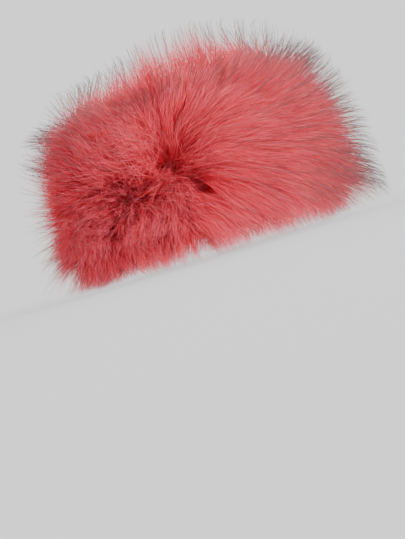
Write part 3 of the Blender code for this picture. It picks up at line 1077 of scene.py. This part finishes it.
def make_label():
    """A blank tape, folded at its lower end and sewn in along its upper one."""
    dark, light = (0.80, 0.78, 0.74), (0.93, 0.92, 0.89)
    spacings = (0.35 * MM, 0.6 * MM, 0.03 * MM)
    satin = chart_material("satin_tape", dark, light, 0.38, 0.1, *spacings, 0.5)
    low, high = heights("care_label")
    gap, half, near = 0.35 * MM, 11 * MM, -1.3 * MM
    far = near - 2 * gap
    centre = run(near, high, low + gap, 14)
    centre += arc((near + far) / 2, low + gap, gap, (-math.pi / 3, -math.pi * 2 / 3))
    centre += run(far, low + gap, high, 14)

    def curl(along, up):
        hang = np.clip((high - up) / (high - low), 0, 1)
        return -1.6 * MM * hang**2 * (0.4 + 0.6 * ((along - NAPE) / half) ** 2)

    name, node, section = "blank_care_label", "care_label", ribbon(centre, 0.18 * MM)
    span, flat = (NAPE - half, NAPE + half), (2 * half, 2 * (high - low))
    make_cloth(name, BACK, "label", node, section, span, satin, flat, "folded", curl)
    row, end = high - 2 * MM, half - 1.5 * MM
    rows = running([(NAPE - end, row), (NAPE + end, row)], 2.4 * MM)
    thread = {"face": far - 0.1 * MM, "radius": 0.22 * MM, "rise": 0.22 * MM}
    stitches("label_row", BACK, "care_label_stitch", *rows, **thread)


# --- Stage, light and camera

CAMERA_AZIMUTH, CAMERA_ELEVATION = 245.0, -3.2
CAMERA_ROLL = 17.0  # the photograph shows the band tilted back, as it is worn
CAMERA_DISTANCE = 1.05
CAMERA_LENS = 88.0
AIM_BELOW, AIM_ASIDE = 4.9, 0.45  # degrees that put the object above and left of the middle
STUDIO_GREY = (0.17, 0.17, 0.171)
STUDIO_GLOW = 1.3
NEAR_GLOW = 0.68  # of the full glow, beside the object
FLOOR_RADIUS, FLOOR_BEND, WALL_TOP = 2.2, 0.8, 3.5
LIT_FROM, LIT_TO = 0.18, 1.0  # metres from the middle between which the glow takes over
# Each light's name, azimuth, elevation, distance, size and power.
LIGHTS = [("key", 285, 22, 1.8, 0.6, 54), ("fill", 240, 1, 2.0, 1.2, 28)]
LIGHTS += [("far_side", 75, 35, 2.0, 1.4, 30)]


def make_stage():
    """A round studio: a flat floor that curves up into a wall all round."""
    steps, spokes = 12, 96
    rising = np.linspace(-math.pi / 2, 0, steps + 1)[1:]
    profile = [(FLOOR_RADIUS, 0.0), *arc(FLOOR_RADIUS, FLOOR_BEND, FLOOR_BEND, rising)]
    profile.append((FLOOR_RADIUS + FLOOR_BEND, WALL_TOP))
    points = [(0.0, 0.0, 0.0)]
    for radius, height in profile:
        ring = arc(0, 0, radius, math.tau * np.arange(spokes) / spokes)
        points += [(x, y, height) for x, y in ring]
    mesh = bpy.data.meshes.new("studio")
    faces = [(0, 1 + i, 1 + (i + 1) % spokes) for i in range(spokes)]
    for first in range(1, len(points) - spokes, spokes):
        for i in range(spokes):
            near, far = first + i, first + (i + 1) % spokes
            faces.append((near, near + spokes, far + spokes, far))
    mesh.from_pydata(points, [], faces)
    mesh.shade_smooth()
    paint = Nodes("studio_paint", 0.9, specular=0.0)
    place = paint.node("ShaderNodeTexCoord")
    flat = paint.node("ShaderNodeVectorMath", operation="MULTIPLY")
    flat.inputs[1].default_value = (1, 1, 0)
    paint.link(place, "Object", flat, 0)
    away = paint.node("ShaderNodeVectorMath", operation="LENGTH")
    paint.link(flat, "Vector", away, 0)
    # By the object the floor is lit and shaded; further off it glows evenly, like a lit backdrop.
    lit = paint.ramp(away, "Value", [(LIT_FROM, STUDIO_GREY), (LIT_TO, (0.0,) * 3)])
    glow = paint.ramp(away, "Value", [(LIT_FROM, (NEAR_GLOW,) * 3), (LIT_TO, (1.0,) * 3)])
    paint.link(lit, "Color", paint.shader, "Base Color")
    paint.link(glow, "Color", paint.shader, "Emission Color")
    paint.shader.inputs["Emission Strength"].default_value = STUDIO_GLOW
    mesh.materials.append(paint.material)
    add("studio", mesh)


def placed(name, data, azimuth, elevation, distance, centre, turned=Quaternion()):
    """A light or camera that looks at a centre; azimuth 0 is in front, 90 on the left."""
    turn, rise = math.radians(azimuth), math.radians(elevation)
    across = math.cos(rise)
    away = Vector((math.sin(turn) * across, -math.cos(turn) * across, math.sin(rise)))
    made = add(name, data)
    made.location = centre + away * distance
    made.rotation_mode = "QUATERNION"
    made.rotation_quaternion = (-away).to_track_quat("-Z", "Y") @ turned
    return made


def area_light(name, azimuth, elevation, distance, size, power):
    light = bpy.data.lights.new(name, "AREA")
    light.shape, light.size, light.energy = "DISK", size, power
    placed(name, light, azimuth, elevation, distance, Vector((0, 0, BAND_MIDDLE)))


def make_light():
    world = bpy.data.worlds.new("studio_air")
    bpy.context.scene.world = world
    world.use_nodes = True
    background = world.node_tree.nodes["Background"]
    background.inputs["Color"].default_value = (0.93, 0.95, 1.0, 1.0)
    background.inputs["Strength"].default_value = 0.95
    for light in LIGHTS:
        area_light(*light)


def make_camera():
    data = bpy.data.cameras.new("camera")
    data.lens = CAMERA_LENS
    data.clip_start = 0.005
    roll = Quaternion((0, 0, 1), -math.radians(CAMERA_ROLL))
    down = Quaternion((1, 0, 0), -math.radians(AIM_BELOW))
    aside = Quaternion((0, 1, 0), -math.radians(AIM_ASIDE))
    place = CAMERA_AZIMUTH, CAMERA_ELEVATION, CAMERA_DISTANCE, (CAD_LOW + CAD_HIGH) / 2
    bpy.context.scene.camera = placed("camera", data, *place, roll @ down @ aside)


make_camera()
make_stage()
make_light()
make_fur()
make_fur_fabric()
make_linings()
make_wadding()
make_elastic()
make_stitching()
make_label()
